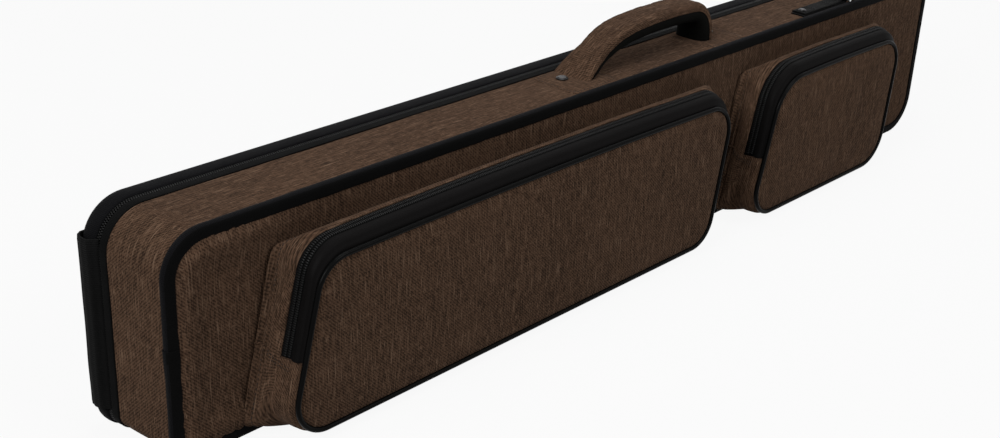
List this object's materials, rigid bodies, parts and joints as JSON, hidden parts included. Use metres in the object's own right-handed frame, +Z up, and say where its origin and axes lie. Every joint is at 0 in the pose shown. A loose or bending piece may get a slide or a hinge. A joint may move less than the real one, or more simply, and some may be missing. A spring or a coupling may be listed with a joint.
{
  "type": "cue case",
  "caption": "Cloth-covered hard cue case with zipped pockets on its front, an arched carry handle, a strap ring and a lid that opens on a webbing hinge.",
  "frame": {"origin": "middle of the floor under the whole case, which stands on its long bottom side", "axes": "+X along the case from the hinged end to the far end, +Y from the pockets towards the lid's flat face, +Z up towards the handle"},
  "size_m": [0.87, 0.114, 0.1877],
  "materials": {
    "brown_cloth": "matte",
    "lined_foam": "matte",
    "black_board": "matte",
    "black_trim": "satin",
    "black_zip": "matte",
    "nickel": "polished",
    "black_pull": "satin",
    "black_webbing": "matte"
  },
  "bodies": {
    "case_body": {"side_wall": "brown_cloth", "front_panel": "brown_cloth", "front_binding": "black_trim", "body_zip_tape": "black_zip", "body_zip_coil": "black_zip", "foam_cradle": "lined_foam", "cue_straps": "black_webbing", "hinge_body_leaf": "black_webbing", "long_gusset": "brown_cloth", "long_zip_base": "black_zip", "long_lower_panel": "brown_cloth", "long_lower_piping": "black_trim", "small_gusset": "brown_cloth", "small_zip_base": "black_zip", "small_lower_panel": "brown_cloth", "small_lower_piping": "black_trim", "handle_grip": "brown_cloth", "handle_lining": "black_webbing", "handle_patches": "brown_cloth", "handle_rivets": "nickel", "strap_tab": "black_webbing", "strap_rivet": "nickel"},
    "lid": {"lid_frame": "black_board", "lid_panel": "brown_cloth", "lid_binding": "black_trim", "lid_zip_tape": "black_zip", "lid_zip_coil": "black_zip", "lid_pad": "lined_foam", "hinge_lid_leaf": "black_webbing"},
    "long_flap": {"long_flap_zip": "black_zip", "long_flap_band": "black_trim", "long_flap_panel": "brown_cloth", "long_flap_piping": "black_trim"},
    "small_flap": {"small_flap_zip": "black_zip", "small_flap_band": "black_trim", "small_flap_panel": "brown_cloth", "small_flap_piping": "black_trim"},
    "near_slider": {"near_slider": "nickel"},
    "near_pull": {"near_pull": "black_pull"},
    "far_slider": {"far_slider": "nickel"},
    "far_pull": {"far_pull": "black_pull"},
    "long_slider": {"long_slider": "nickel"},
    "long_pull": {"long_pull": "black_pull"},
    "small_slider": {"small_slider": "nickel"},
    "small_pull": {"small_pull": "black_pull"},
    "strap_ring": {"d_ring": "nickel"}
  },
  "joints": [
    {"name": "lid_hinge", "type": "hinge", "parent": "case_body", "child": "lid", "pos_m": [-0.4354, 0.041, 0.0735], "axis": [0, 0, 1], "range_deg": [0, 160]},
    {"name": "long_flap_fold", "type": "hinge", "parent": "case_body", "child": "long_flap", "pos_m": [-0.14, -0.0573, 0.059], "axis": [1, 0, 0], "range_deg": [0, 110]},
    {"name": "small_flap_fold", "type": "hinge", "parent": "case_body", "child": "small_flap", "pos_m": [0.22, -0.0573, 0.059], "axis": [1, 0, 0], "range_deg": [0, 110]},
    {"name": "near_slider_slide", "type": "slide", "parent": "case_body", "child": "near_slider", "axis": [-1, 0, 0], "range_m": [0, 0.69]},
    {"name": "near_pull_swing", "type": "hinge", "parent": "near_slider", "child": "near_pull", "pos_m": [0.3042, 0.0398, 0.1518], "axis": [0, 1, 0], "range_deg": [0, 130]},
    {"name": "far_slider_slide", "type": "slide", "parent": "case_body", "child": "far_slider", "axis": [1, 0, 0], "range_m": [0, 0.08]},
    {"name": "far_pull_swing", "type": "hinge", "parent": "far_slider", "child": "far_pull", "pos_m": [0.3188, 0.0398, 0.1518], "axis": [0, -1, 0], "range_deg": [0, 130]},
    {"name": "long_slider_slide", "type": "slide", "parent": "case_body", "child": "long_slider", "axis": [0.1542, 0, 0.988], "range_m": [0, 0.036]},
    {"name": "long_pull_swing", "type": "hinge", "parent": "long_slider", "child": "long_pull", "pos_m": [0.06931, -0.04198, 0.06582], "axis": [-0.2454, -0.9687, 0.0383], "range_deg": [0, 130]},
    {"name": "small_slider_slide", "type": "slide", "parent": "case_body", "child": "small_slider", "axis": [0.0861, 0, 0.9963], "range_m": [0, 0.036]},
    {"name": "small_pull_swing", "type": "hinge", "parent": "small_slider", "child": "small_pull", "pos_m": [0.32723, -0.04198, 0.06599], "axis": [-0.2475, -0.9687, 0.0214], "range_deg": [0, 130]},
    {"name": "ring_swing", "type": "hinge", "parent": "case_body", "child": "strap_ring", "pos_m": [0.295, -0.0056, 0.1519], "axis": [0, -1, 0], "range_deg": [0, 150]}
  ]
}
